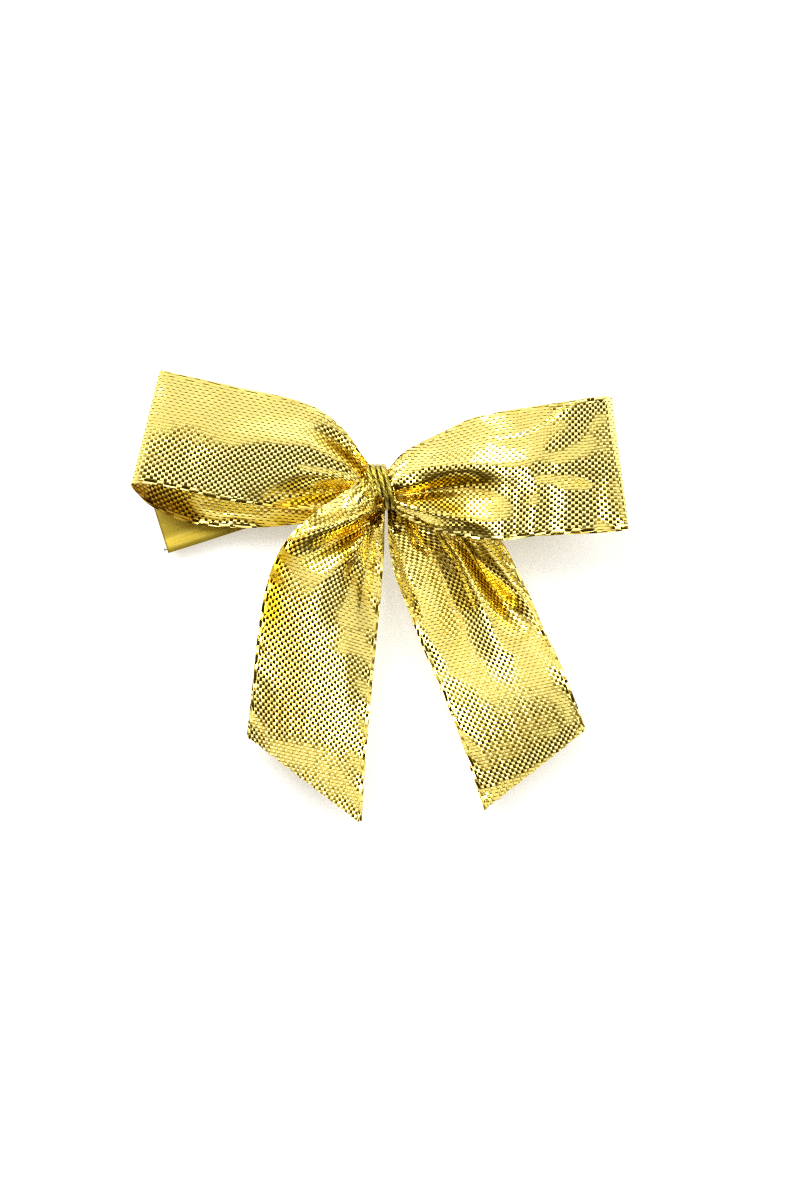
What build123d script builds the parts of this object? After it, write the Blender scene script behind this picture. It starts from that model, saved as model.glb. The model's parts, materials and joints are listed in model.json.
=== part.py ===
from build123d import *
import math
import os

# Pre-made gift bow: one strip of woven metallic ribbon folded into two loops and two tails,
# gathered at the middle, bound with a thin metallic cord, and backed by a flat foil twist tie
# with two soft steel wires. The bow hangs upright: +X to the bow's right as seen from the
# front, +Z up, and the face looks along -Y. Depth d is measured forwards from the back face of
# the tie, so d = -y. All lengths are millimetres.
#
# The real ribbon, films and wires are continuous. They are cut here at their bend lines, so
# that every panel of ribbon and every length of tie is a rigid piece on a hinge.

# ---- ribbon ----
RIBBON_W = 16.0          # 5/8 inch ribbon
RIBBON_T = 0.30          # woven cloth over its crimps
HINGE_GAP = 0.35         # gap left between two panels at a bend line
PIVOT_U = 4.2            # distance of the loops' inner bend lines from the knot's centre
NECK_R = 3.15            # inner radius of every neck piece around the knot
CORE_R = 3.0             # radius of the gathered core, seen from the front
CORE_D0, CORE_D1 = 0.80, 4.70
CORE_HALF_Z = 2.35

# ---- binding cord ----
CORD_R = 0.33
CORD_TURNS = 4
CORD_PITCH = 0.70
CORD_LEAN = 0.30         # the turns lean, so they run from upper left to lower right
CORD_CENTRE_D, CORD_A, CORD_B = 2.32, 2.80, 2.76

# ---- twist tie ----
TIE_W = 8.0
TIE_END = 29.3           # half length of the tie
TIE_MID_D = 0.33
FILM_T = 0.10
WIRE_R = 0.22
WIRE_SEAT_R = 0.235
RIDGE_R = 0.33
WIRE_INSET = 0.60        # wire's centre from the strip's edge
TIE_BENDS = [3.6, 10.1, 16.5, 22.9]
TIE_LEFT_DIR, TIE_RIGHT_DIR = 197.7, 9.0
TIE_LEFT_W = (-8.2, -0.2)    # the strip's two edges across the left arm
TIE_RIGHT_W = (-3.0, 5.0)
TIE_PINCH_W = (-1.2, 1.3)    # the strip's edges where the cord crumples it

# ---- loops: direction of each loop's axis, and its section as (u, d) points ----
LEFT_LOOP_DIR, RIGHT_LOOP_DIR = 166.5, 5.5
LEFT_FRONT = [(4.2, 2.90), (8.0, 5.00), (12.6, 7.35), (17.4, 8.80), (23.5, 9.75), (28.6, 9.85), (31.2, 9.15), (31.9, 7.60)]
LEFT_BACK = [(31.9, 7.60), (31.2, 6.10), (28.6, 4.75), (23.5, 2.65), (18.6, 1.42), (13.0, 1.12), (8.5, 1.18), (4.2, 1.35)]
RIGHT_FRONT = [(4.2, 4.40), (8.0, 6.75), (12.5, 9.05), (17.3, 10.40), (23.5, 11.10), (28.4, 10.90), (30.9, 9.90), (31.6, 8.10)]
RIGHT_BACK = [(31.6, 8.10), (30.9, 6.45), (28.4, 5.20), (23.5, 3.55), (18.6, 2.38), (13.0, 2.25), (8.5, 2.50), (4.2, 2.95)]
LOOP_MID = 3             # index of the bend line half way along each layer: front
LOOP_MID_BACK = 4        # and back

# Front views (x, z) of the four loop layers.
LEFT_FRONT_VIEW = [(-29.1, 15.1), (-28.3, 15.3), (-23.8, 14.0), (-17.2, 12.7), (-11.9, 11.4), (-7.9, 9.9), (-4.6, 7.4),
                   (-2.9, 5.2), (-1.6, 3.0), (-1.1, -1.7), (-4.0, -2.6), (-7.0, -2.9), (-10.6, -3.1), (-15.2, -2.6),
                   (-20.5, -1.7), (-25.0, -0.5), (-29.0, 0.3), (-32.6, -0.1), (-31.7, 3.3), (-30.4, 9.5)]
LEFT_BACK_VIEW = [(-30.4, 9.5), (-29.4, 13.2), (-23.8, 12.4), (-17.2, 11.2), (-11.9, 9.9), (-7.9, 8.2), (-4.6, 5.6),
                  (-2.0, 2.6), (-1.1, -1.7), (-4.0, -2.8), (-6.6, -3.8), (-9.7, -4.8), (-13.9, -5.4), (-18.5, -5.6),
                  (-23.3, -5.2), (-26.4, -4.5), (-29.6, -3.3), (-32.0, -1.3), (-32.6, -0.1), (-31.7, 3.3)]
RIGHT_FRONT_VIEW = [(1.1, 2.5), (2.6, 4.0), (4.6, 4.9), (6.6, 5.7), (8.6, 6.5), (12.6, 7.8), (16.5, 9.1), (20.5, 10.0),
                    (24.5, 10.8), (28.4, 11.5), (30.0, 11.6), (30.8, 7.5), (31.9, 0.9), (32.5, -5.3), (30.4, -5.8),
                    (25.8, -6.1), (20.5, -6.6), (16.5, -7.1), (13.2, -7.0), (9.9, -6.2), (6.6, -5.3), (3.3, -4.2),
                    (1.3, -2.6)]
RIGHT_BACK_VIEW = [(1.1, 2.2), (2.6, 3.6), (4.6, 4.4), (8.6, 5.9), (12.6, 7.2), (16.5, 8.5), (20.5, 9.4), (24.5, 10.2),
                   (28.4, 10.9), (30.0, 11.0), (30.8, 7.5), (31.9, 0.9), (32.5, -5.0), (30.4, -5.4), (25.8, -5.7),
                   (20.5, -6.1), (16.5, -6.5), (13.2, -6.4), (9.9, -5.7), (6.6, -4.8), (3.3, -3.6), (1.3, -2.4)]

# ---- tails: direction of each tail, its section (u, d), its front view, and its bend lines ----
LEFT_TAIL_DIR, RIGHT_TAIL_DIR = -95.0, -70.1
LEFT_TAIL = [(-1.5, 4.40), (2.0, 5.40), (4.5, 6.70), (7.5, 8.10), (11.0, 8.90), (15.0, 8.80), (20.0, 7.90), (26.0, 6.30),
             (32.0, 4.60), (38.0, 3.10), (46.0, 1.60)]
RIGHT_TAIL = [(-1.5, 1.30), (4.0, 1.20), (9.0, 1.15), (13.0, 1.18), (16.0, 1.55), (20.0, 2.60), (25.0, 3.70), (30.0, 3.85), (36.0, 3.00),
              (41.0, 2.00), (46.5, 0.90)]
LEFT_TAIL_VIEW = [(-1.9, 1.1), (-4.0, -0.3), (-6.6, -2.1), (-9.3, -4.0), (-11.6, -6.1), (-13.5, -8.7), (-14.8, -12.3),
                  (-15.9, -17.6), (-16.7, -24.2), (-17.6, -32.8), (-2.4, -44.4), (-1.7, -34.8), (-0.9, -24.2),
                  (-0.1, -14.9), (0.3, -9.7), (0.5, -5.7), (0.4, -2.8)]
RIGHT_TAIL_VIEW = [(0.9, -3.0), (1.1, -6.3), (1.6, -9.9), (2.9, -13.9), (5.3, -20.5), (9.3, -29.7), (13.7, -42.6),
                   (27.2, -31.9), (25.1, -26.8), (22.5, -20.9), (20.1, -15.6), (17.8, -10.7), (15.9, -7.1), (11.9, -5.0),
                   (6.6, -3.3), (2.6, -2.1)]
LEFT_TAIL_BENDS = [10.0, 21.0, 32.0]
RIGHT_TAIL_BENDS = [13.0, 24.0, 34.0]

os.makedirs("parts", exist_ok=True)


def frame(direction_deg):
    """Local x runs out from the knot, local y across, local z towards the viewer."""
    a = math.radians(direction_deg)
    return Plane(origin=(0, 0, 0), x_dir=(math.cos(a), 0, math.sin(a)), z_dir=(0, -1, 0))


FRONT = Plane(origin=(0, 0, 0), x_dir=(1, 0, 0), z_dir=(0, -1, 0))


def view_prism(points, d0=-2.0, d1=14.0):
    """A closed front view, extruded through the depth."""
    wire = Wire.make_polygon([(x, z, d0) for x, z in points], close=True)
    return Solid.extrude(Face(wire), Vector(0, 0, d1 - d0)).moved(FRONT.location)


def section_points(points, lo, hi, n=15):
    """Points of the smooth section between two positions along it, 0 at the first control point."""
    curve = Spline(*[(u, 0, d) for u, d in points])
    return [curve @ (lo + (hi - lo) * i / (n - 1)) for i in range(n)], curve


def share_at(points, target):
    """How far along the section its nearest point to target lies, as a share of its length."""
    curve = Spline(*[(u, 0, d) for u, d in points])
    best = min(range(2001), key=lambda i: (curve @ (i / 2000) - Vector(target[0], 0, target[1])).length)
    return best / 2000, curve.length


def sheet_piece(points, lo, hi, direction_deg, half_width=26.0):
    """A curved sheet of ribbon: the section between two shares of its length, thickened and carried across."""
    pts, curve = section_points(points, lo, hi)
    left, right = [], []
    for i, p in enumerate(pts):
        t = curve % (lo + (hi - lo) * i / (len(pts) - 1))
        n = Vector(-t.Z, 0, t.X).normalized()
        left.append(p + n * (RIBBON_T / 2))
        right.append(p - n * (RIBBON_T / 2))
    edges = [Spline(*left), Line(left[-1], right[-1]), Spline(*right[::-1]), Line(right[0], left[0])]
    face = Face(Wire(edges))
    face = face.moved(Location((0, -half_width, 0)))
    return Solid.extrude(face, Vector(0, 2 * half_width, 0)).moved(frame(direction_deg).location)


def one(shape):
    """The largest solid of a shape."""
    solids = sorted(shape.solids(), key=lambda s: s.volume)
    return solids[-1]


def outside_knot():
    """Space around the gathered core and the cord, kept clear by every neck piece."""
    drum = Cylinder(NECK_R, 20, align=(Align.CENTER, Align.CENTER, Align.CENTER)).moved(Location((0, 0, 0), (90, 0, 0)))
    slot = Box(5.3, 20, 6.7)
    return drum + slot


def save(name, shape):
    export_step(shape, f"parts/{name}.step")


knot_space = outside_knot()

# ---- the gathered core under the cord ----
core_drum = Cylinder(CORE_R, CORE_D1 - CORE_D0).moved(Location((0, -(CORE_D0 + CORE_D1) / 2, 0), (90, 0, 0)))
core_section = Plane(origin=(-4, 0, 0), x_dir=(0, 1, 0), z_dir=(1, 0, 0)) * Pos(-(CORE_D0 + CORE_D1) / 2, 0, 0) * RectangleRounded(
    CORE_D1 - CORE_D0, 2 * CORE_HALF_Z, 1.6)
core = one(core_drum & extrude(core_section, 8))
save("ribbon_gathered_core", core)

# ---- the binding cord: one continuous winding round the core and the tie, tied behind ----
def cord_line(turns, per_turn=20, fine=360):
    """Points evenly spaced along a leaning, flattened winding. It starts and ends at the back."""
    raw = []
    n = int(turns * fine)
    for i in range(n + 1):
        t = 2 * math.pi * i / fine + math.pi
        c, s = math.cos(t), math.sin(t)
        r = (abs(c) ** 3 + abs(s) ** 3) ** (-1 / 3)
        z = CORD_B * r * s
        x = (i / n - 0.5) * turns * CORD_PITCH - CORD_LEAN * z
        raw.append(Vector(x, -(CORD_CENTRE_D + CORD_A * r * c), z))
    length = [0.0]
    for p, q in zip(raw, raw[1:]):
        length.append(length[-1] + (q - p).length)
    count = int(turns * per_turn)
    out, j = [], 0
    for k in range(count + 1):
        target = length[-1] * k / count
        while j < len(raw) - 2 and length[j + 1] < target:
            j += 1
        f = (target - length[j]) / (length[j + 1] - length[j])
        out.append(raw[j] + (raw[j + 1] - raw[j]) * f)
    return out


winding = cord_line(CORD_TURNS)[1:-1]
half = CORD_TURNS * CORD_PITCH / 2
lead_in = [Vector(-half * 0.50, 1.30, 0.20), Vector(-half * 0.78, 1.06, 0.05)]
lead_out = [Vector(-p.X, p.Y, -p.Z) for p in reversed(lead_in)]
cord_path = Spline(*lead_in, *winding, *lead_out)
lengths = []
for i in range(16):
    piece_of_path = cord_path.trim(i / 16, (i + 1) / 16)
    lengths.append(sweep(Plane(origin=piece_of_path @ 0, z_dir=piece_of_path % 0) * Circle(CORD_R), path=piece_of_path))
save("binding_cord", one(lengths[0] + lengths[1:]))

knot_centre = Vector(0, 1.40, 0)
knot_body = scale(Sphere(0.62), by=(0.85, 0.82, 1.15)).moved(Location(knot_centre))
end_a = Spline(knot_centre + Vector(0.1, 0.05, 0.3), knot_centre + Vector(-0.5, 0.15, 1.6), knot_centre + Vector(-1.7, 0.10, 2.7))
end_b = Spline(knot_centre + Vector(0.1, 0.05, -0.3), knot_centre + Vector(0.7, 0.15, -1.5), knot_centre + Vector(0.6, 0.05, -3.0))
ends = [sweep(Plane(origin=e @ 0, z_dir=e % 0) * Circle(0.30), path=e) for e in (end_a, end_b)]
save("binding_cord_knot", one(knot_body + ends[0] + ends[1]))


# ---- loops ----
def loop(side, direction, front, back, front_view, back_view):
    pf, pb = view_prism(front_view), view_prism(back_view)
    f_mid, f_len = share_at(front, front[LOOP_MID])
    b_mid, b_len = share_at(back, back[LOOP_MID_BACK])
    gf, gb = HINGE_GAP / 2 / f_len, HINGE_GAP / 2 / b_len
    panels = {
        "front_inner": (front, gf, f_mid - gf, pf),
        "front_outer": (front, f_mid + gf, 1 - gf, pf),
        "back_outer": (back, gb, b_mid - gb, pb),
        "back_inner": (back, b_mid + gb, 1 - gb * 1.6, pb),
    }
    for name, (pts, lo, hi, prism) in panels.items():
        save(f"ribbon_{side}_loop_{name}", one(sheet_piece(pts, lo, hi, direction) & prism))
    # the neck: both layers gathered between the core and the inner bend lines
    a = frame(direction)
    d0, d1 = back[-1][1], front[0][1]
    u1 = PIVOT_U - HINGE_GAP / 2
    solid = Solid.extrude(
        Face(Wire.make_polygon([(0, -9, d0 - RIBBON_T / 2), (0, 9, d0 - RIBBON_T / 2), (0, 9, d1 + RIBBON_T / 2),
                                (0, -9, d1 + RIBBON_T / 2)], close=True)), Vector(u1, 0, 0)).moved(a.location)
    narrow = Solid.extrude(Face(Wire.make_polygon([(0, -2.3, -2), (u1 + 1, -3.6, -2), (u1 + 1, 3.6, -2), (0, 2.3, -2)], close=True)),
                           Vector(0, 0, 16)).moved(a.location)
    neck = one(((solid & narrow) & pf) - knot_space)
    save(f"ribbon_{side}_loop_neck", neck)


loop("left", LEFT_LOOP_DIR, LEFT_FRONT, LEFT_BACK, LEFT_FRONT_VIEW, LEFT_BACK_VIEW)
loop("right", RIGHT_LOOP_DIR, RIGHT_FRONT, RIGHT_BACK, RIGHT_FRONT_VIEW, RIGHT_BACK_VIEW)


# ---- tails ----
def tail(side, direction, section, view, bends):
    curve = Spline(*[(u, 0, d) for u, d in section])

    def share(u):
        return min((i / 2000 for i in range(2001)), key=lambda s: abs((curve @ s).X - u))

    prism = view_prism(view)
    names = ["neck", "upper", "middle", "tip"]
    marks = [0.0] + [share(b) for b in bends] + [1.0]
    g = HINGE_GAP / 2 / curve.length
    for i, name in enumerate(names):
        lo = marks[i] + (g if i else 0)
        hi = marks[i + 1] - (g if i < 3 else 0)
        piece = sheet_piece(section, lo, hi, direction) & prism
        if name == "neck":
            piece = one(piece) - knot_space
        save(f"ribbon_{side}_tail_{name}", one(piece))


tail("left", LEFT_TAIL_DIR, LEFT_TAIL, LEFT_TAIL_VIEW, LEFT_TAIL_BENDS)
tail("right", RIGHT_TAIL_DIR, RIGHT_TAIL, RIGHT_TAIL_VIEW, RIGHT_TAIL_BENDS)


# ---- twist tie ----
def rod(p, q, r):
    v = Vector(*q) - Vector(*p)
    return Solid.make_cylinder(r, v.length, Plane(origin=p, z_dir=v))


def tie_piece(name, direction, u0, u1, e0, e1, wire_out=0.0):
    """One length of the tie: the strip's edges are at e0 at u0 and at e1 at u1. Two films with a ridge over each wire."""
    place = frame(direction).location
    lift = Location((0, 0, TIE_MID_D))
    inset0 = min(WIRE_INSET, (e0[1] - e0[0]) * 0.24)
    inset1 = min(WIRE_INSET, (e1[1] - e1[0]) * 0.24)
    lines = [((u0, e0[0] + inset0), (u1, e1[0] + inset1)), ((u0, e0[1] - inset0), (u1, e1[1] - inset1))]

    def extended(line, by):
        (ua, wa), (ub, wb) = line
        s = (wb - wa) / (ub - ua)
        return (ua - by, wa - s * by, 0), (ub + by, wb + s * by, 0)

    outline = Wire.make_polygon([(u0, e0[0], 0.01), (u1, e1[0], 0.01), (u1, e1[1], 0.01), (u0, e0[1], 0.01)], close=True)
    plate = Solid.extrude(Face(outline), Vector(0, 0, FILM_T))
    bounds = Solid.extrude(Face(outline), Vector(0, 0, 2))
    shape = plate
    for line in lines:
        p, q = extended(line, 1.0)
        shape = shape + (rod(p, q, RIDGE_R) & bounds)
    for line in lines:
        p, q = extended(line, 1.5)
        shape = shape - rod(p, q, WIRE_SEAT_R)
    front_film = one(shape)
    back_film = front_film.mirror(Plane.XY)
    save(f"tie_{name}_front_film", front_film.moved(lift).moved(place))
    save(f"tie_{name}_back_film", back_film.moved(lift).moved(place))
    wires = []
    for k, line in enumerate(lines):
        (ua, wa), (ub, wb) = line
        s = (wb - wa) / (ub - ua)
        out = wire_out if k == 1 else wire_out * 0.4
        wires.append(rod((ua, wa, 0), (ub + out, wb + s * out, 0), WIRE_R).moved(lift).moved(place))
    save(f"tie_{name}_wires", Compound(children=wires))


CENTRE_U = TIE_BENDS[0] - 0.1
tie_piece("centre", 0.0, -CENTRE_U, CENTRE_U, TIE_PINCH_W, TIE_PINCH_W)


def arm(side, direction, edges, pinch):
    starts = [b + 0.1 for b in TIE_BENDS]
    ends = [b - 0.1 for b in TIE_BENDS[1:]] + [TIE_END]
    for i in range(4):
        e0 = pinch if i == 0 else edges
        tie_piece(f"{side}_length_{i + 1}", direction, starts[i], ends[i], e0, edges, wire_out=0.4 if i == 3 else 0.0)


arm("left", TIE_LEFT_DIR, TIE_LEFT_W, (-TIE_PINCH_W[1], -TIE_PINCH_W[0]))
arm("right", TIE_RIGHT_DIR, TIE_RIGHT_W, TIE_PINCH_W)
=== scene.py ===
import bpy, json, math
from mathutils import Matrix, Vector, noise

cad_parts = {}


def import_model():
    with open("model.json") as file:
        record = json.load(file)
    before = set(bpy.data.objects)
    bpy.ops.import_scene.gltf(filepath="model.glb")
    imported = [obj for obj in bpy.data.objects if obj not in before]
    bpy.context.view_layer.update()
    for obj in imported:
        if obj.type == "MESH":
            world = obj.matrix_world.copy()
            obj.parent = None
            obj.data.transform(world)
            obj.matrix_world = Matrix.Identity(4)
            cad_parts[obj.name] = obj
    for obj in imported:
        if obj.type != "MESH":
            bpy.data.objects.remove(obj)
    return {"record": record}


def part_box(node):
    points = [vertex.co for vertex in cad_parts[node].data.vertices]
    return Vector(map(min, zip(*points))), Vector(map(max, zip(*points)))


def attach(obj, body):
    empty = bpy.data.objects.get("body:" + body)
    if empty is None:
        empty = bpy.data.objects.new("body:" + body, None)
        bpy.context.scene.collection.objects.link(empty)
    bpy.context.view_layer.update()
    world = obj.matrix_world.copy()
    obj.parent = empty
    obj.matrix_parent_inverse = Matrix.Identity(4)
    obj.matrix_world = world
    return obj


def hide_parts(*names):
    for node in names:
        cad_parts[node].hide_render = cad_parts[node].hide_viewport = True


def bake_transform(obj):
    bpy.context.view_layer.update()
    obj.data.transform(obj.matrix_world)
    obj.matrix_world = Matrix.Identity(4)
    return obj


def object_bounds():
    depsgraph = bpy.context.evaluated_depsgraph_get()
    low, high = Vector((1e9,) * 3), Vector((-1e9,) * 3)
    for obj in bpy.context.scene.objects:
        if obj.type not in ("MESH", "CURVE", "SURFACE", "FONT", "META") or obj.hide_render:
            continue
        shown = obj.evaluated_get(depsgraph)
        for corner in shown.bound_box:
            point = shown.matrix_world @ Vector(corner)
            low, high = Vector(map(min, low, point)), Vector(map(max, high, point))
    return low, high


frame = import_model()
bounds_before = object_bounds()
record = frame["record"]
JOINTS = {j["name"]: j for j in record["behaviour"]["joints"]}
MM = 0.001

# The whole bow's size, read from the CAD, against the size the curves below were drawn at.
lo0, hi0 = Vector(bounds_before[0]), Vector(bounds_before[1])
SCALE = (hi0.x - lo0.x) / 0.0650
CORE_LO, CORE_HI = (Vector(p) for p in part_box("ribbon_gathered_core"))
CX, CZ = (CORE_LO.x + CORE_HI.x) / 2, (CORE_LO.z + CORE_HI.z) / 2

CELL_U, CELL_V = 0.44, 0.40      # one cell of the weave along and across the ribbon, mm
RIBBON_W = 16.0


def world(x, z, d):
    """Drawing coordinates in mm: right, up, and forwards from the tie's back, to the row frame in metres."""
    return Vector((CX + x * MM * SCALE, -d * MM * SCALE, CZ + z * MM * SCALE))


def smooth(a, b, x):
    t = min(1.0, max(0.0, (x - a) / (b - a)))
    return t * t * (3 - 2 * t)


def catmull(rows, t):
    """Smooth interpolation through rows of numbers at t in 0..len-1."""
    n = len(rows)
    i = min(max(int(t), 0), n - 2)
    f = t - i
    p0, p1, p2, p3 = rows[max(i - 1, 0)], rows[i], rows[i + 1], rows[min(i + 2, n - 1)]
    out = []
    for a, b, c, d in zip(p0, p1, p2, p3):
        m1, m2 = (c - a) / 2, (d - b) / 2
        out.append((2 * f ** 3 - 3 * f ** 2 + 1) * b + (f ** 3 - 2 * f ** 2 + f) * m1 + (-2 * f ** 3 + 3 * f ** 2) * c + (f ** 3 - f ** 2) * m2)
    return out


class Strip:
    """A ribbon layer through stations, each across the ribbon's width."""

    def __init__(self, stations, folds, gilt=(), painted_dark_reflection=()):
        self.rows = stations
        self.folds = folds
        # the two lists of streaks: painted orange reflection in the folds, and painted dark reflection and shade
        self.gilt, self.painted_dark_reflection = gilt, painted_dark_reflection
        n = (len(stations) - 1) * 24
        self.ts = [i * (len(stations) - 1) / n for i in range(n + 1)]
        mids = []
        for t in self.ts:
            a = catmull(stations, t)
            mids.append(Vector(((a[0] + a[2]) / 2, (a[4] + a[5]) / 2, (a[1] + a[3]) / 2)))
        self.s = [0.0]
        for p, q in zip(mids, mids[1:]):
            self.s.append(self.s[-1] + (q - p).length)
        self.length = self.s[-1]

    def t_of(self, s):
        lo, hi = 0, len(self.s) - 1
        while hi - lo > 1:
            m = (lo + hi) // 2
            if self.s[m] <= s:
                lo = m
            else:
                hi = m
        f = (s - self.s[lo]) / max(1e-9, self.s[hi] - self.s[lo])
        return self.ts[lo] + (self.ts[hi] - self.ts[lo]) * f

    def s_at_station(self, i):
        return self.s[int(i * 24)]

    def point(self, s, v):
        """v runs from 0 at the first selvedge to 1 at the second. Returns drawing coordinates (x, z, d)."""
        t = self.t_of(s)
        a = catmull(self.rows, t)
        x = a[0] + (a[2] - a[0]) * v
        z = a[1] + (a[3] - a[1]) * v
        d = a[4] + (a[5] - a[4]) * v + a[6] * (1 - (2 * v - 1) ** 2) - a[7] * max(0.0, (v - 0.40) / 0.60) ** 1.35
        for fold in self.folds:
            d += fold(x, z, t, v)
        return x, z, d


def tone(marks, x, z, t):
    """How strongly the painted reflection or shade streaks drawn in the front view colour this spot, 0 to 1."""
    return min(1.0, sum(f(x, z, t, 0.5) for f in marks))


def painted_streak(points, t0=-1.0, t1=999.0):
    """A streak of painted reflection or painted shade, drawn like a fold."""
    return fold_line(points, t0, t1, 1.0)


def fold_line(points, t0=-1.0, t1=999.0, strength=0.95):
    """A ridge or valley drawn in the front view: points are (x, z, height, width), all mm."""
    def f(x, z, t, v):
        if t < t0 or t > t1:
            return 0.0
        best, out = 1e9, 0.0
        for (ax, az, ah, aw), (bx, bz, bh, bw) in zip(points, points[1:]):
            ex, ez = bx - ax, bz - az
            q = ((x - ax) * ex + (z - az) * ez) / (ex * ex + ez * ez)
            q = min(1.0, max(0.0, q))
            dx, dz = x - ax - ex * q, z - az - ez * q
            w = aw + (bw - aw) * q
            r = math.hypot(dx, dz) / w
            if r < best:
                best, out = r, (ah + (bh - ah) * q) * math.exp(-r * r)
        return out * strength
    return f


def fading(f, t0, t1):
    """The same fold, gone between t0 and t1."""
    return lambda x, z, t, v: f(x, z, t, v) * (1 - smooth(t0, t1, t)) if t < t1 else 0.0


def gather(waves, depth, reach, phase=0.0, centre=(0.0, 0.0)):
    """Fine pleats running out from the knot and dying away."""
    def f(x, z, t, v):
        r = math.hypot(x - centre[0], z - centre[1])
        k = math.exp(-(r / reach) ** 2) * smooth(0.4, 1.6, r)
        return depth * k * math.cos(2 * math.pi * waves * v + phase) if k > 1e-4 else 0.0
    return f


def ripple(amount, scale, seed):
    def f(x, z, t, v):
        return amount * noise.noise(Vector((x / scale, z / scale, seed)))
    return f


def edge_wave(amount, period, side, seed):
    """The selvedge's own slight waviness."""
    def f(x, z, t, v):
        e = v if side == 1 else 1 - v
        if e < 0.7:
            return 0.0
        return amount * ((e - 0.7) / 0.3) ** 2 * math.sin(2 * math.pi * (x + z) / period + seed)
    return f


STEP_U = CELL_U * 0.5
STEP_V = CELL_V * 0.5
CLOTH_T = 0.09


def finish_mesh(name, verts, faces, uvs, material, flat_from=None, normals=None, tones=None, rises=None):
    """One mesh object. Vertices with a normal given keep it, so that pieces meet without a line."""
    mesh = bpy.data.meshes.new(name)
    mesh.from_pydata([tuple(v) for v in verts], [], faces)
    layer = mesh.uv_layers.new(name="weave")
    for poly in mesh.polygons:
        for li in poly.loop_indices:
            layer.data[li].uv = uvs[mesh.loops[li].vertex_index]
    for i, p in enumerate(mesh.polygons):
        p.use_smooth = flat_from is None or i < flat_from
    if tones:
        attr = mesh.attributes.new("tones", "FLOAT_COLOR", "POINT")
        for i, (g, k, e) in enumerate(tones):
            attr.data[i].color = (g, k, e, 1.0)
    if rises:
        attr = mesh.attributes.new("rise", "FLOAT_COLOR", "POINT")
        for i, (a, b) in enumerate(rises):
            attr.data[i].color = (0.5 + 0.5 * a, 0.5 + 0.5 * b, 0.0, 1.0)     # a colour holds no negative numbers
    if normals:
        out = []
        for i, p in enumerate(mesh.polygons):
            for li in p.loop_indices:
                out.append(tuple(normals[mesh.loops[li].vertex_index]) if i < flat_from else tuple(p.normal))
        mesh.normals_split_custom_set(out)
    obj = bpy.data.objects.new(name, mesh)
    bpy.context.scene.collection.objects.link(obj)
    if material:
        mesh.materials.append(material)
    mesh.update()
    return obj


RELIEF = 0.022      # how far a yarn stands up in the middle of its float, mm


def relief(s, v_mm):
    """The weave's own relief: high in the middle of each float, low where four floats meet."""
    fu, fv = s / CELL_U, v_mm / CELL_V
    over = (math.floor(fu + 1e-6) + math.floor(fv + 1e-6)) % 2
    a, b = abs(math.sin(math.pi * fu)), abs(math.sin(math.pi * fv))
    return RELIEF * ((a * b) * (1.25 if over else 0.85) - 0.5 * (1 - a) * (1 - b))


def snap(s):
    return round(s / (CELL_U / 2)) * CELL_U / 2


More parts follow.
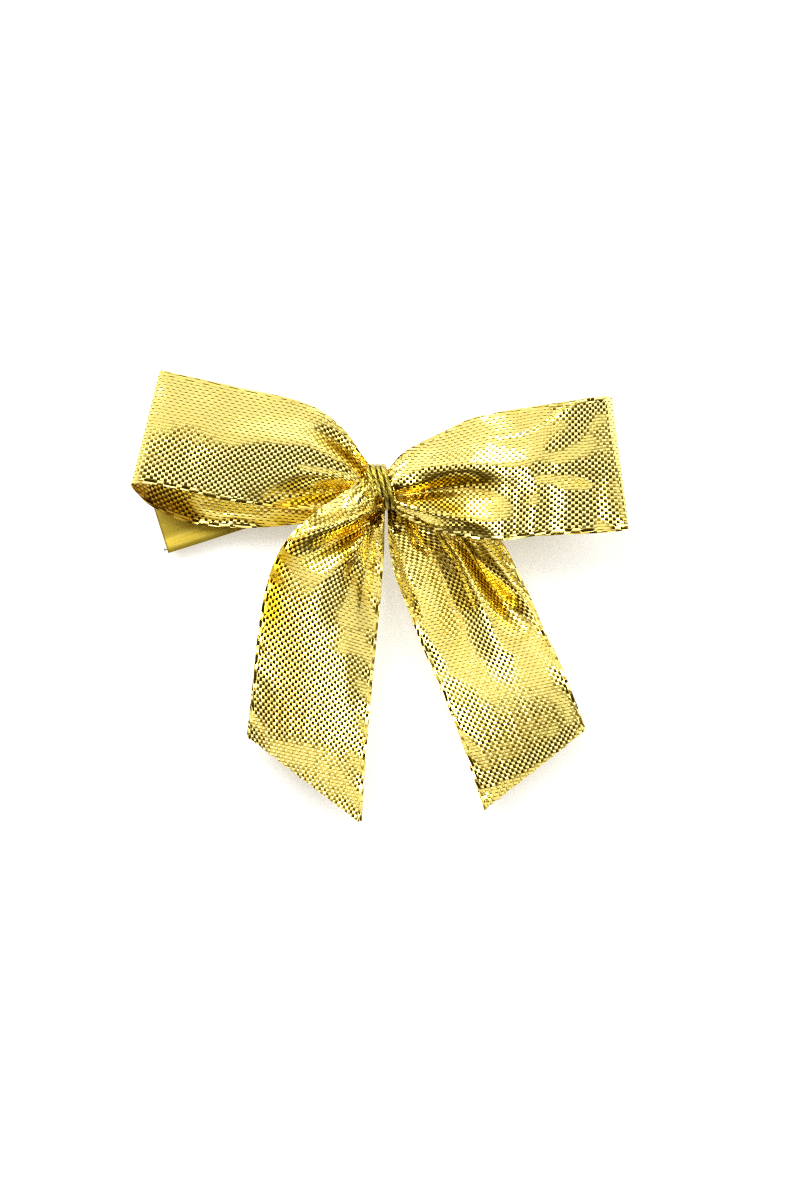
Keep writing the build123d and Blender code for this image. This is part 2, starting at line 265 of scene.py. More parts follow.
def sheet(name, strip, s0, s1, material, thickness=CLOTH_T, cut=None, width=RIBBON_W, flip=1.0, uv_shift=0.0, plain_back=False):
    """A thin closed sheet of cloth between two lengths along the strip, with the weave's own relief."""
    nu = max(2, int(round((s1 - s0) / STEP_U)))
    nv = int(round(width / STEP_V))
    ds = (s1 - s0) / nu
    L = strip.length

    def at(s, v):
        x, z, d = strip.point(min(max(s, 0.0), L), v)
        return world(x, z, d)

    grid, marks = [], []
    for i in range(nu + 1):
        row, row_marks = [], []
        for j in range(nv + 1):
            v = j / nv
            b = cut(v) if cut else s1
            s = s0 + (b - s0) * i / nu
            x, z, d = strip.point(min(s, L), v)
            row.append((world(x, z, d), s, v))
            t = strip.t_of(min(s, L))
            row_marks.append((tone(strip.gilt, x, z, t), tone(strip.painted_dark_reflection, x, z, t)))
        # true distances across, so that yarns keep their size where the ribbon is gathered
        across = [0.0]
        for p, q in zip(row, row[1:]):
            across.append(across[-1] + (q[0] - p[0]).length / MM / SCALE)
        full = across[-1]
        grid.append([(p, s, v, width / 2 + a - full / 2, min(1.0, full / width)) for (p, s, v), a in zip(row, across)])
        marks += [(g, k, min(2.0, a, full - a)) for (g, k), a in zip(row_marks, across)]
    before = [at(s0 - ds, j / nv) for j in range(nv + 1)] if s0 > 0 else [g[0] for g in grid[0]]
    after = [at(s1 + ds, j / nv) for j in range(nv + 1)] if s1 < L - 1e-6 and not cut else [g[0] for g in grid[nu]]
    verts, uvs, faces = [], [], []
    normals, rises = [], []
    for i in range(nu + 1):
        for j in range(nv + 1):
            nxt = grid[i + 1][j][0] if i < nu else after[j]
            prv = grid[i - 1][j][0] if i > 0 else before[j]
            du = nxt - prv
            dv = grid[i][min(j + 1, nv)][0] - grid[i][max(j - 1, 0)][0]
            n = du.cross(dv)
            normals.append(n.normalized() if n.length > 0 else Vector((0, -1, 0)))
            rises.append((du.normalized().z, dv.normalized().z))
    w = nv + 1
    shade_normals = []
    for side in (1, -1):
        for i in range(nu + 1):
            for j in range(nv + 1):
                p, s, v, v_mm, open_ = grid[i][j]
                n = normals[i * w + j] * flip
                half = (thickness / 2 + (relief(s + uv_shift, v * width) * open_ * open_ if 0 < j < nv else 0.0)) * MM * SCALE
                verts.append(p + n * half * side)
                uvs.append((s + uv_shift, v_mm))
                shade_normals.append(n * side)
    off = (nu + 1) * w
    for i in range(nu):
        for j in range(nv):
            a, b, c, d = i * w + j, (i + 1) * w + j, (i + 1) * w + j + 1, i * w + j + 1
            if flip > 0:
                faces.append((a, b, c, d))
                faces.append((off + a, off + d, off + c, off + b))
            else:
                faces.append((a, d, c, b))
                faces.append((off + a, off + b, off + c, off + d))
    rim = []
    for i in range(nu):
        rim.append((i * w, (i + 1) * w))
        rim.append(((i + 1) * w + nv, i * w + nv))
    for j in range(nv):
        rim.append((j + 1, j))
        rim.append((nu * w + j, nu * w + j + 1))
    flat_from = len(faces)
    for a, b in rim:
        faces.append((a, off + a, off + b, b) if flip > 0 else (a, b, off + b, off + a))
    behind = [(0.0, 0.0, e) for g, k, e in marks] if plain_back else marks
    return finish_mesh(name, verts, faces, uvs, material, flat_from, shade_normals, marks + behind, rises + rises)


# ------------------------------------------------------------------ materials
class Nodes:
    """Small helper for writing node maths."""

    def __init__(self, tree):
        self.t = tree
        tree.nodes.clear()

    def new(self, kind, **kw):
        n = self.t.nodes.new(kind)
        for k, v in kw.items():
            setattr(n, k, v)
        return n

    def put(self, sock, value):
        if isinstance(value, (int, float, tuple, list)):
            sock.default_value = value
        else:
            self.t.links.new(value, sock)

    def m(self, op, a, b=None, c=None, clamp=False):
        n = self.new("ShaderNodeMath", operation=op, use_clamp=clamp)
        self.put(n.inputs[0], a)
        if b is not None:
            self.put(n.inputs[1], b)
        if c is not None:
            self.put(n.inputs[2], c)
        return n.outputs[0]

    def mix(self, f, a, b):
        n = self.new("ShaderNodeMix", data_type="RGBA")
        self.put(n.inputs[0], f)
        self.put(n.inputs[6], a)
        self.put(n.inputs[7], b)
        return n.outputs[2]

    def mixf(self, f, a, b):
        n = self.new("ShaderNodeMix", data_type="FLOAT")
        self.put(n.inputs[0], f)
        self.put(n.inputs[2], a)
        self.put(n.inputs[3], b)
        return n.outputs[0]

    def ramp(self, f, stops):
        n = self.new("ShaderNodeValToRGB")
        e = n.color_ramp.elements
        while len(e) < len(stops):
            e.new(0.5)
        for el, (p, c) in zip(e, stops):
            el.position, el.color = p, (*c, 1) if len(c) == 3 else c
        self.put(n.inputs[0], f)
        return n.outputs[0]


def multiply(n, a, b):
    mul = n.new("ShaderNodeMix", data_type="RGBA", blend_type="MULTIPLY")
    n.put(mul.inputs[0], 1.0)
    n.put(mul.inputs[6], a)
    n.put(mul.inputs[7], b)
    return mul.outputs[2]


def new_material(name):
    mat = bpy.data.materials.new(name)
    mat.use_nodes = True
    return mat, Nodes(mat.node_tree)


def woven_material(name, base, dip_shade_colour, arch=0.26, tilt=0.62):
    """Plain weave of flat metallic film: each cell is one yarn's float, flat in the middle, bent over at its ends."""
    mat, n = new_material(name)
    uv = n.new("ShaderNodeUVMap", uv_map="weave")
    sep = n.new("ShaderNodeSeparateXYZ")
    n.put(sep.inputs[0], uv.outputs[0])
    u, v = sep.outputs[0], sep.outputs[1]
    # slow wander of the yarns, so rows aren't ruled lines
    noise_slow = n.new("ShaderNodeTexNoise", noise_dimensions="2D")
    n.put(noise_slow.inputs["Vector"], uv.outputs[0])
    n.put(noise_slow.inputs["Scale"], 0.35)
    wander = n.m("MULTIPLY", n.m("SUBTRACT", noise_slow.outputs[0], 0.5), 0.5)
    vv = n.m("ADD", n.m("DIVIDE", v, CELL_V), wander)
    at = n.new("ShaderNodeAttribute", attribute_type="GEOMETRY", attribute_name="tones")
    tones = n.new("ShaderNodeSeparateColor")
    n.put(tones.inputs[0], at.outputs["Color"])
    selv = n.m("LESS_THAN", tones.outputs[2], 0.62)
    cell_u = n.mixf(selv, CELL_U, CELL_U * 2.6)
    frayed = n.new("ShaderNodeTexNoise", noise_dimensions="2D")
    n.put(frayed.inputs["Vector"], uv.outputs[0])
    n.put(frayed.inputs["Scale"], 0.8)
    uu = n.m("ADD", n.m("DIVIDE", u, cell_u), n.m("MULTIPLY", n.m("MULTIPLY", frayed.outputs[0], selv), 2.2))
    iu, iv = n.m("FLOOR", uu), n.m("FLOOR", vv)
    fu = n.m("SUBTRACT", n.m("SUBTRACT", uu, iu), 0.5)
    fv = n.m("SUBTRACT", n.m("SUBTRACT", vv, iv), 0.5)
    parity = n.m("FLOORED_MODULO", n.m("ADD", iu, iv), 2.0)
    # each yarn has its own slight twist
    cell = n.new("ShaderNodeCombineXYZ")
    n.put(cell.inputs[0], iu)
    n.put(cell.inputs[1], iv)
    white = n.new("ShaderNodeTexWhiteNoise", noise_dimensions="2D")
    n.put(white.inputs["Vector"], cell.outputs[0])
    jit = n.new("ShaderNodeSeparateXYZ")
    n.put(jit.inputs[0], white.outputs["Color"])
    jx = n.m("MULTIPLY", n.m("SUBTRACT", jit.outputs[0], 0.5), 0.06)
    jy = n.m("MULTIPLY", n.m("SUBTRACT", jit.outputs[1], 0.5), 0.06)
    # flat in the middle, steep at the ends of the float; "rise" says which way is up along each yarn
    at2 = n.new("ShaderNodeAttribute", attribute_type="GEOMETRY", attribute_name="rise")
    rise = n.new("ShaderNodeSeparateColor")
    n.put(rise.inputs[0], at2.outputs["Color"])
    up_u = n.m("MULTIPLY_ADD", rise.outputs[0], 2.0, -1.0)
    up_v = n.m("MULTIPLY_ADD", rise.outputs[1], 2.0, -1.0)
    fu2, fv2 = n.m("MULTIPLY", fu, 2.0), n.m("MULTIPLY", fv, 2.0)
    au, av = n.m("ABSOLUTE", fu2), n.m("ABSOLUTE", fv2)
    su = n.m("MULTIPLY", fu2, n.m("MULTIPLY", au, au))
    sv = n.m("MULTIPLY", fv2, n.m("MULTIPLY", av, av))
    amount = n.mixf(parity, arch * 0.35, arch)
    nx = n.m("MULTIPLY", n.m("MULTIPLY", su, amount), n.m("MAXIMUM", n.m("ABSOLUTE", up_u), 0.15))
    ny = n.m("MULTIPLY", n.m("MULTIPLY", sv, amount), n.m("MAXIMUM", n.m("ABSOLUTE", up_v), 0.15))
    # one set of yarns lies flat, the other stands up towards the light
    border = n.m("GREATER_THAN", n.m("MAXIMUM", au, av), 0.95)
    lean = n.m("MULTIPLY", n.m("MAXIMUM", parity, border), tilt)
    nx = n.m("ADD", n.m("MULTIPLY_ADD", lean, up_u, nx), jx)
    ny = n.m("ADD", n.m("MULTIPLY_ADD", lean, up_v, ny), jy)
    nmap_c = n.new("ShaderNodeCombineXYZ")
    n.put(nmap_c.inputs[0], n.m("MULTIPLY_ADD", nx, 0.5, 0.5))
    n.put(nmap_c.inputs[1], n.m("MULTIPLY_ADD", ny, 0.5, 0.5))
    n.put(nmap_c.inputs[2], 1.0)
    nm = n.new("ShaderNodeNormalMap", space="TANGENT", uv_map="weave")
    n.put(nm.inputs["Strength"], 1.0)
    n.put(nm.inputs["Color"], nmap_c.outputs[0])
    # painted shade: the dips where one yarn dives under the next, most of all each yarn's downward-facing end, are
    # painted darker and deeper in colour
    low_v = n.m("MULTIPLY", n.m("SUBTRACT", n.m("MULTIPLY", fv2, n.m("MULTIPLY", up_v, -1.0)), 0.16), 3.4, clamp=True)
    low_u = n.m("MULTIPLY", n.m("SUBTRACT", n.m("MULTIPLY", fu2, n.m("MULTIPLY", up_u, -1.0)), 0.16), 3.4, clamp=True)
    low_v = n.m("MULTIPLY", low_v, n.m("SUBTRACT", 1.0, n.m("POWER", au, 5.0)))
    low_u = n.m("MULTIPLY", low_u, n.m("SUBTRACT", 1.0, n.m("POWER", av, 5.0)))
    seam = n.m("MULTIPLY", n.m("POWER", n.m("MAXIMUM", au, av), 8.0), n.mixf(parity, 0.12, 0.5))
    shaded_dips = n.m("ADD", n.m("MULTIPLY", n.m("ADD", low_u, low_v), n.mixf(parity, 0.10, 1.0)), seam, clamp=True)
    tone_n = n.new("ShaderNodeTexNoise", noise_dimensions="2D")
    n.put(tone_n.inputs["Vector"], uv.outputs[0])
    n.put(tone_n.inputs["Scale"], 0.9)
    n.put(tone_n.inputs["Detail"], 3.0)
    col_a = n.mix(tone_n.outputs[0], (*base, 1), (base[0], base[1] * 0.96, base[2] * 0.80, 1))
    col_b = n.mix(parity, col_a, (base[0], base[1] * 1.03, base[2] * 1.25, 1))
    colour = n.mix(shaded_dips, col_b, (*dip_shade_colour, 1))
    # painted bounce light and painted shade: where ambient occlusion finds a pleat the colour is painted orange, and
    # the tightest places brown
    ao = n.new("ShaderNodeAmbientOcclusion", samples=6)
    n.put(ao.inputs["Distance"], 2.2 * MM)
    occluded_shade = n.m("MULTIPLY", n.m("SUBTRACT", n.m("SUBTRACT", 1.0, ao.outputs["AO"]), 0.38, clamp=True), 1.3, clamp=True)
    colour = multiply(n, colour, n.mix(occluded_shade, (1, 1, 1, 1), (0.76, 0.50, 0.07, 1)))
    # painted reflections from the drawn streaks: orange in the folds, dark brown for painted dark reflection and shade
    colour = multiply(n, colour, n.mix(tones.outputs[0], (1, 1, 1, 1), (0.74, 0.56, 0.04, 1)))
    colour = multiply(n, colour, n.mix(tones.outputs[1], (1, 1, 1, 1), (0.28, 0.155, 0.015, 1)))
    bsdf = n.new("ShaderNodeBsdfPrincipled")
    out = n.new("ShaderNodeOutputMaterial")
    n.put(bsdf.inputs["Base Color"], colour)
    n.put(bsdf.inputs["Metallic"], 1.0)
    n.put(bsdf.inputs["Roughness"], n.mixf(shaded_dips, n.mixf(parity, 0.10, 0.14), 0.40))
    n.put(bsdf.inputs["Normal"], nm.outputs[0])
    n.t.links.new(bsdf.outputs[0], out.inputs[0])
    return mat


def foil_material():
    mat, n = new_material("tie_foil")
    uv = n.new("ShaderNodeUVMap", uv_map="weave")
    mp = n.new("ShaderNodeMapping")
    n.put(mp.inputs[0], uv.outputs[0])
    mp.inputs["Scale"].default_value = (0.12, 1.6, 1)
    streak = n.new("ShaderNodeTexNoise", noise_dimensions="2D")
    n.put(streak.inputs["Vector"], mp.outputs[0])
    n.put(streak.inputs["Scale"], 1.0)
    n.put(streak.inputs["Detail"], 5.0)
    fine = n.new("ShaderNodeTexNoise", noise_dimensions="2D")
    n.put(fine.inputs["Vector"], uv.outputs[0])
    n.put(fine.inputs["Scale"], 1.6)
    n.put(fine.inputs["Detail"], 4.0)
    colour = n.ramp(streak.outputs[0], [(0.30, (0.42, 0.305, 0.020)), (0.5, (0.47, 0.35, 0.030)), (0.72, (0.53, 0.40, 0.050))])
    bump = n.new("ShaderNodeBump")
    n.put(bump.inputs["Strength"], 0.06)
    n.put(bump.inputs["Distance"], 0.00005)
    n.put(bump.inputs["Height"], n.m("ADD", streak.outputs[0], n.m("MULTIPLY", fine.outputs[0], 0.6)))
    bsdf = n.new("ShaderNodeBsdfPrincipled")
    out = n.new("ShaderNodeOutputMaterial")
    n.put(bsdf.inputs["Base Color"], colour)
    n.put(bsdf.inputs["Metallic"], 0.65)
    n.put(bsdf.inputs["Roughness"], n.m("MULTIPLY_ADD", fine.outputs[0], 0.14, 0.50))
    n.put(bsdf.inputs["Normal"], bump.outputs[0])
    n.t.links.new(bsdf.outputs[0], out.inputs[0])
    return mat


def steel_material():
    mat, n = new_material("wire_steel")
    tc = n.new("ShaderNodeTexCoord")
    noi = n.new("ShaderNodeTexNoise")
    n.put(noi.inputs["Vector"], tc.outputs["Object"])
    n.put(noi.inputs["Scale"], 2500.0)
    n.put(noi.inputs["Detail"], 3.0)
    bump = n.new("ShaderNodeBump")
    n.put(bump.inputs["Strength"], 0.3)
    n.put(bump.inputs["Distance"], 0.00003)
    n.put(bump.inputs["Height"], noi.outputs[0])
    bsdf = n.new("ShaderNodeBsdfPrincipled")
    out = n.new("ShaderNodeOutputMaterial")
    n.put(bsdf.inputs["Base Color"], n.mix(noi.outputs[0], (0.32, 0.31, 0.29, 1), (0.55, 0.54, 0.52, 1)))
    n.put(bsdf.inputs["Metallic"], 1.0)
    n.put(bsdf.inputs["Roughness"], n.m("MULTIPLY_ADD", noi.outputs[0], 0.25, 0.3))
    n.put(bsdf.inputs["Normal"], bump.outputs[0])
    n.t.links.new(bsdf.outputs[0], out.inputs[0])
    return mat


def cord_material():
    """Twisted metallic cord: uv.x is mm along, uv.y is turns around."""
    mat, n = new_material("metallic_cord")
    uv = n.new("ShaderNodeUVMap", uv_map="weave")
    sep = n.new("ShaderNodeSeparateXYZ")
    n.put(sep.inputs[0], uv.outputs[0])
    twist = n.m("ADD", n.m("MULTIPLY", sep.outputs[1], 3.0), n.m("MULTIPLY", sep.outputs[0], 1.15))
    fr = n.m("SUBTRACT", twist, n.m("FLOOR", twist))
    groove = n.m("POWER", n.m("MULTIPLY", n.m("ABSOLUTE", n.m("SUBTRACT", fr, 0.5)), 2.0), 4.0)
    fine = n.m("SINE", n.m("MULTIPLY", n.m("ADD", n.m("MULTIPLY", sep.outputs[1], 14.0), n.m("MULTIPLY", sep.outputs[0], -9.0)), 2 * math.pi))
    fine01 = n.m("MULTIPLY_ADD", fine, 0.5, 0.5)
    noi = n.new("ShaderNodeTexNoise", noise_dimensions="2D")
    n.put(noi.inputs["Vector"], uv.outputs[0])
    n.put(noi.inputs["Scale"], 3.0)
    c = n.mix(fine01, (0.60, 0.50, 0.07, 1), (0.26, 0.21, 0.015, 1))
    c = n.mix(n.m("MULTIPLY", noi.outputs[0], 0.35), c, (0.90, 0.78, 0.20, 1))
    # painted shade: the grooves between the plies are painted near black
    c = n.mix(n.m("MULTIPLY", groove, 0.95), c, (0.06, 0.04, 0.003, 1))
    bump = n.new("ShaderNodeBump")
    n.put(bump.inputs["Strength"], 0.5)
    n.put(bump.inputs["Distance"], 0.00005)
    n.put(bump.inputs["Height"], n.m("SUBTRACT", n.m("MULTIPLY", fine01, 0.4), groove))
    bsdf = n.new("ShaderNodeBsdfPrincipled")
    out = n.new("ShaderNodeOutputMaterial")
    n.put(bsdf.inputs["Base Color"], c)
    n.put(bsdf.inputs["Metallic"], 0.9)
    n.put(bsdf.inputs["Roughness"], 0.32)
    n.put(bsdf.inputs["Normal"], bump.outputs[0])
    n.t.links.new(bsdf.outputs[0], out.inputs[0])
    return mat


# the second colour is the painted shade in the weave's dips
WEAVE = woven_material("woven_gold", (0.98, 0.845, 0.245), (0.17, 0.095, 0.005))
FOIL = foil_material()
STEEL = steel_material()
CORD = cord_material()

# ------------------------------------------------------------------ ribbon layers, drawn in mm

def st(tx, tz, bx, bz, dt, db, bow=0.0, drop=0.0):
    """One station: both selvedges' x and z, both depths, how much the middle stands out, how far the lower part leans back."""
    return (tx, tz, bx, bz, dt, db, bow, drop)


LEFT_LOOP = Strip([
    st(-0.3, 1.9, -0.1, -1.4, 3.6, 3.6, 0.3),
    st(-1.3, 2.75, -1.1, -2.1, 3.7, 3.6, 0.4, 0.07),
    st(-2.4, 4.2, -3.0, -2.7, 3.5, 3.5, 0.4, 0.22),
    st(-4.6, 7.3, -6.2, -3.0, 4.0, 4.1, 0.5, 0.50),
    st(-7.9, 10.0, -10.2, -3.0, 5.2, 5.3, 0.7, 0.86),
    st(-11.9, 11.5, -15.2, -2.6, 6.7, 6.9, 0.6, 1.37),
    st(-17.2, 12.6, -20.5, -1.8, 8.2, 8.6, 0.5, 1.66),
    st(-22.6, 13.75, -25.4, -0.6, 9.2, 9.6, 0.3, 1.66),
    st(-26.6, 14.6, -29.7, 0.25, 9.6, 10.0, 0.2, 1.22),
    st(-28.1, 15.05, -31.8, 0.28, 9.60, 9.75, 0.1, 0.58),
    st(-28.62, 14.95, -32.32, 0.22, 9.38, 9.25, 0.0, 0.29),
    st(-28.80, 14.65, -32.45, 0.05, 8.95, 8.60, 0.0, 0.14),
    st(-28.60, 14.45, -32.34, -0.25, 8.45, 8.05, 0.0),
    st(-27.7, 14.2, -31.6, -1.1, 7.5, 6.9, 0.0),
    st(-26.0, 13.4, -30.0, -2.6, 6.0, 5.0, 0.0),
    st(-23.0, 11.8, -26.4, -4.4, 4.4, 3.0, 0.0),
    st(-19.2, 10.7, -21.8, -5.2, 3.1, 2.0, 0.0),
    st(-15.6, 10.1, -17.2, -5.4, 2.1, 1.6, 0.0),
    st(-11.9, 9.4, -12.6, -5.1, 1.4, 1.5, 0.0),
    st(-8.2, 8.0, -9.0, -4.5, 1.2, 1.3, 0.1),
    st(-4.6, 5.2, -5.3, -2.5, 1.35, 1.3, 0.2),
    st(-2.4, 2.5, -2.4, -1.3, 1.6, 1.6, 0.2),
    st(-0.6, 1.3, -0.3, -1.0, 2.0, 2.0, 0.2),
], [
    fold_line([(-1.6, 0.9, 0.6, 0.6), (-5.3, 3.4, 1.1, 1.4), (-9.3, 5.6, 0.9, 2.0), (-14.5, 5.6, 0.6, 2.4), (-20.5, 4.2, 0.3, 2.6), (-25.0, 3.0, 0.0, 2.6)], 0, 10),
    fold_line([(-1.6, 1.5, -0.6, 0.5), (-4.0, 4.2, -1.3, 0.9), (-6.4, 6.2, -1.0, 1.0), (-8.8, 7.8, -0.2, 1.1)], 0, 10),
    fold_line([(-1.8, -0.5, -0.8, 0.5), (-6.6, -0.6, -1.2, 1.2), (-11.9, -1.2, -1.1, 1.7), (-16.5, -2.4, -0.5, 1.8)], 0, 10),
    fold_line([(-2.0, 0.3, 0.5, 0.45), (-6.0, 1.3, 0.7, 0.7), (-10.5, 1.8, 0.3, 1.0)], 0, 10),
    fold_line([(-3.5, -2.2, 0.4, 0.7), (-9.5, -2.9, 0.4, 0.9), (-13.5, -2.8, 0.0, 0.9)], 0, 10),
    fold_line([(-22.5, -3.9, 0.6, 1.8), (-19.3, -4.1, 1.3, 2.0), (-16.0, -4.6, 0.5, 1.8)], 12, 22),
    gather(3.5, 0.35, 4.5, 0.6), ripple(0.10, 4.0, 1.3), edge_wave(0.10, 5.5, 1, 0.4), edge_wave(0.08, 7.1, 0, 1.4),
# streaks of painted orange reflection, then of painted dark reflection and shade
], gilt=[
    painted_streak([(-2.0, 1.3, 0.9, 0.9), (-4.6, 4.3, 1.0, 1.1), (-7.4, 6.3, 0.5, 1.0)], 0, 10),
    painted_streak([(-3.2, -0.4, 0.8, 0.9), (-9.5, -1.6, 1.0, 1.3), (-15.5, -3.2, 0.8, 1.2), (-18.0, -3.2, 0.0, 1.0)], 0, 10),
    painted_streak([(-16.0, -4.6, 0.6, 1.2), (-10.5, -4.0, 0.9, 1.2), (-6.0, -3.2, 0.8, 1.0)], 12, 22),
    painted_streak([(-31.5, -1.5, 0.8, 2.5), (-25.0, -3.6, 0.8, 2.2), (-22.4, -4.2, 0.2, 1.0)], 12, 22),
], painted_dark_reflection=[
    painted_streak([(-32.2, -0.6, 0.9, 2.0), (-28.5, -2.6, 0.8, 2.4), (-24.6, -3.7, 0.6, 1.6), (-22.8, -4.2, 0.0, 1.0)], 12, 22),
    painted_streak([(-1.4, 0.4, 0.8, 0.8), (-3.2, 2.2, 0.0, 0.6)], 0, 10),
])

RIGHT_LOOP = Strip([
    st(0.3, 1.6, 0.4, -1.5, 4.2, 4.2, 0.2),
    st(1.3, 2.5, 1.3, -2.4, 4.3, 4.2, 0.3, 0.07),
    st(2.6, 4.1, 2.9, -3.9, 4.3, 4.2, 0.4, 0.22),
    st(4.8, 5.5, 5.3, -5.0, 4.9, 4.9, 0.4, 0.43),
    st(8.2, 7.1, 8.4, -6.1, 6.5, 6.6, 0.5, 0.79),
    st(12.2, 8.9, 12.2, -6.85, 8.5, 8.7, 0.5, 1.15),
    st(16.7, 9.8, 16.4, -7.1, 10.0, 10.2, 0.4, 1.37),
    st(21.3, 10.5, 20.6, -6.5, 10.8, 10.9, 0.3, 1.60),
    st(25.6, 11.1, 25.9, -6.1, 10.65, 10.7, 0.3, 1.75),
    st(28.9, 11.55, 30.6, -5.75, 10.0, 9.9, 0.2, 1.10),
    st(29.9, 11.6, 31.95, -5.65, 9.65, 9.3, 0.1, 0.36),
    st(30.25, 11.5, 32.38, -5.6, 9.10, 8.8, 0.0, 0.14),
    st(30.0, 11.35, 32.1, -5.7, 8.40, 8.2, 0.0),
    st(29.0, 11.1, 30.9, -5.95, 7.4, 7.3, 0.0),
    st(26.8, 10.6, 28.2, -6.15, 5.9, 5.9, 0.0),
    st(23.5, 9.8, 24.5, -6.3, 4.3, 4.5, 0.0),
    st(20.2, 9.1, 20.6, -6.5, 3.1, 3.3, 0.0),
    st(16.5, 8.2, 16.4, -6.6, 2.4, 2.5, 0.0),
    st(12.5, 6.9, 12.2, -6.2, 2.3, 2.4, 0.0),
    st(8.6, 5.5, 8.4, -5.3, 2.5, 2.5, 0.1),
    st(5.0, 3.9, 5.0, -3.9, 2.8, 2.8, 0.1),
    st(2.6, 2.3, 2.6, -2.4, 2.9, 2.9, 0.1),
    st(0.6, 1.2, 0.6, -1.2, 2.9, 2.9, 0.1),
], [
    fold_line([(1.7, 1.0, 0.6, 0.5), (6.6, 2.6, 1.0, 1.2), (12.0, 2.9, 0.8, 1.7), (18.5, 2.2, 0.5, 2.0), (24.0, 2.0, 0.2, 2.2)], 0, 10),
    fold_line([(2.3, -1.3, -1.0, 0.45), (6.6, -0.6, -1.7, 1.0), (11.2, -0.1, -1.4, 1.5), (15.9, -0.6, -0.4, 1.8)], 0, 10),
    fold_line([(2.1, -2.4, 0.6, 0.5), (6.6, -3.5, 1.2, 0.9), (11.2, -4.4, 1.1, 1.2), (15.5, -5.2, 0.4, 1.6)], 0, 10),
    fold_line([(18.3, 1.8, -0.1, 1.0), (17.6, -2.5, -0.5, 0.9), (17.4, -6.3, -0.7, 0.9)], 0, 10),
    fold_line([(20.2, 1.0, 0.0, 0.9), (20.0, -2.5, 0.45, 1.0), (20.0, -6.0, 0.5, 1.0)], 0, 10),
    fold_line([(20.5, 2.6, -0.2, 1.4), (25.5, 5.5, -0.35, 1.5), (27.9, 9.5, -0.3, 1.3)], 0, 10),
    fold_line([(21.0, 1.6, -0.3, 1.0), (26.0, 1.3, -0.5, 1.3), (28.2, 0.4, -0.5, 1.3), (28.0, -5.0, -0.4, 1.2)], 0, 10),
    fold_line([(24.5, -1.0, 0.45, 1.6), (24.5, -5.5, 0.3, 1.6)], 0, 10),
    fading(fold_line([(24.0, 15.5, 0.8, 7.0), (28.0, 15.0, 2.4, 8.5), (34.0, 14.0, 2.4, 8.5)]), 8.6, 10.8),
    gather(3.5, 0.35, 4.5, 2.2), ripple(0.12, 3.6, 5.1), edge_wave(0.14, 4.7, 1, 2.4), edge_wave(0.08, 6.5, 0, 0.2),
# streaks of painted orange reflection, then of painted dark reflection and shade
], gilt=[
    painted_streak([(3.8, -0.4, 0.7, 0.8), (8.5, 0.7, 1.0, 1.0), (13.5, 0.6, 0.9, 0.9), (16.5, 0.2, 0.0, 0.8)], 0, 10),
    painted_streak([(5.6, -1.5, 0.7, 0.9), (9.5, -3.0, 0.9, 1.0), (13.0, -5.0, 0.5, 1.0)], 0, 10),
], painted_dark_reflection=[
    painted_streak([(2.2, -0.3, 0.9, 0.8), (4.6, -0.2, 0.3, 0.6), (6.5, 0.1, 0.0, 0.5)], 0, 10),
])

